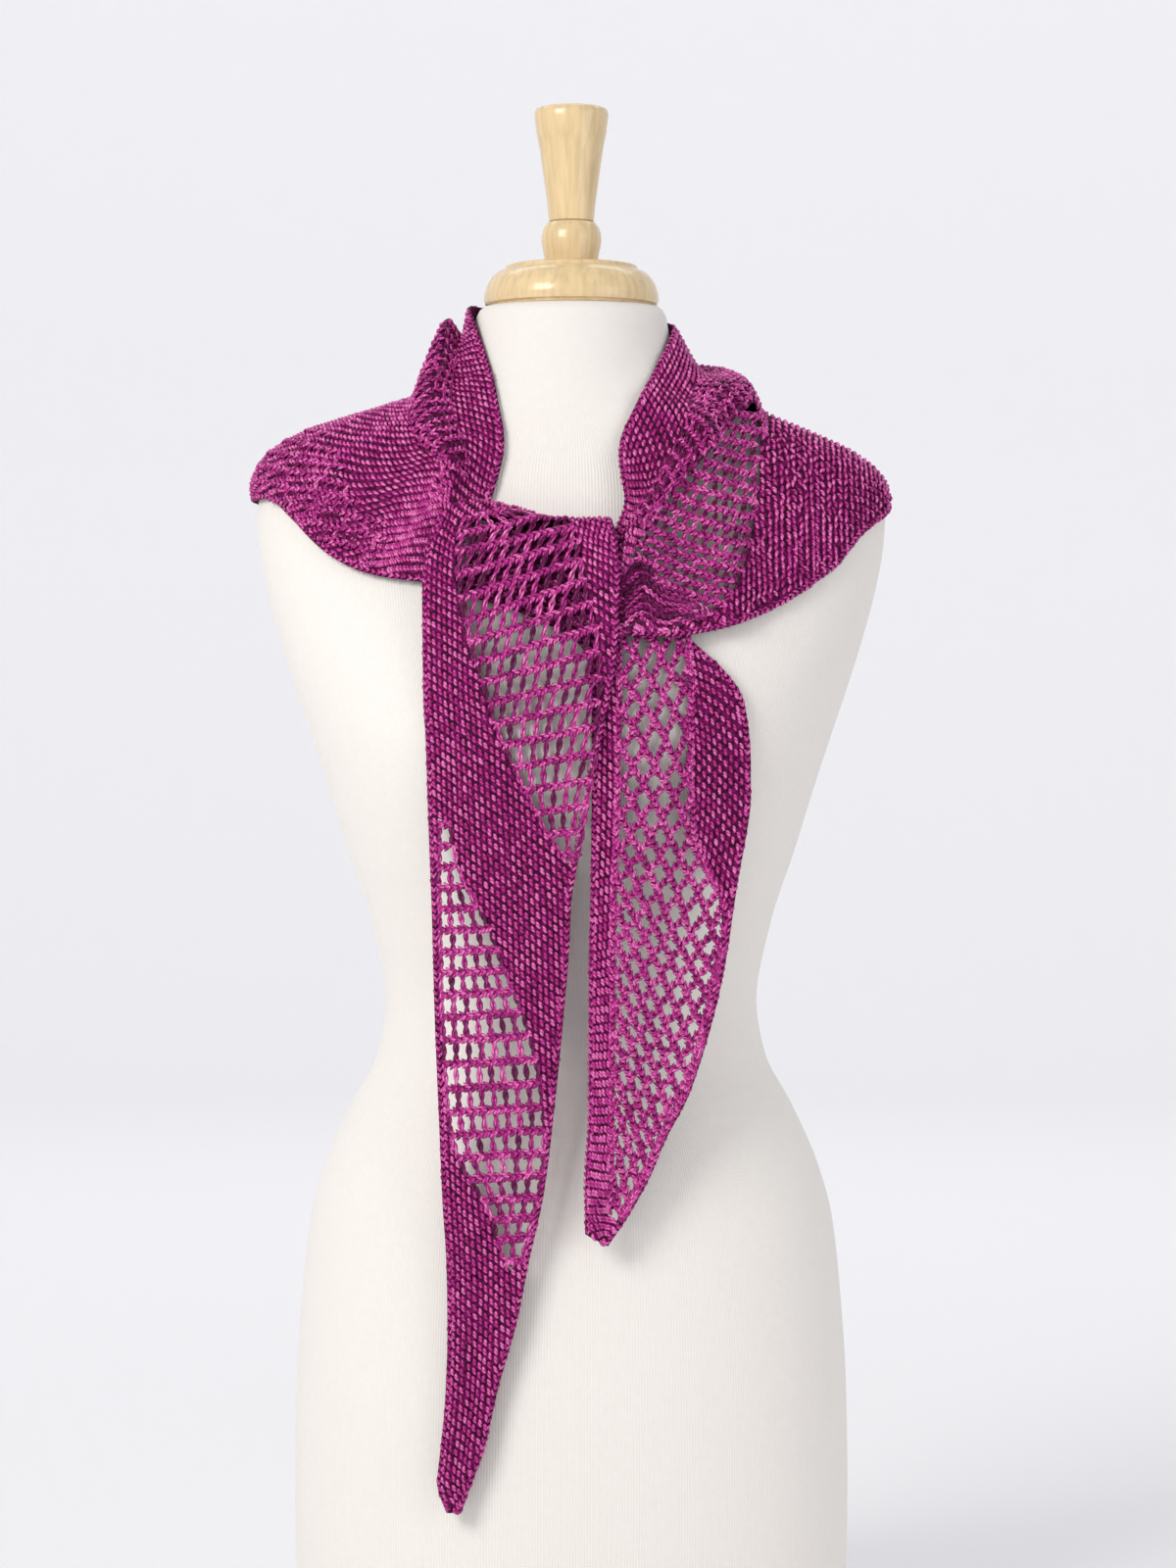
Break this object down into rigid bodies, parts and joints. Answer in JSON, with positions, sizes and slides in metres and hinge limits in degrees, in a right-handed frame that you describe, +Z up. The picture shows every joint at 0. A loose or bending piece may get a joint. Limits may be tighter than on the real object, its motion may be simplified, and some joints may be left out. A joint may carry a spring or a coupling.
{
  "type": "knitted scarf on dress form",
  "caption": "Hand-knitted triangular lace scarf, wound round the neck and tied once in front, on a limbless dress form with a turned wooden neck cap and handle.",
  "frame": {"origin": "centre of the dress form's flat underside, on the surface that it stands on", "axes": "+Z up along the form, +X to the viewer's right, and the knot faces -Y"},
  "size_m": [0.4038, 0.2562, 0.969],
  "materials": {
    "yarn": "satin",
    "jersey": "matte",
    "beech": "gloss"
  },
  "bodies": {
    "root": {"torso": "jersey", "neck_cap": "beech", "finial_ball": "beech", "finial_handle": "beech", "shoulder_right": "yarn", "back_panel": "yarn", "shoulder_left": "yarn", "tail_front": "yarn", "tail_under": "yarn"}
  },
  "joints": []
}
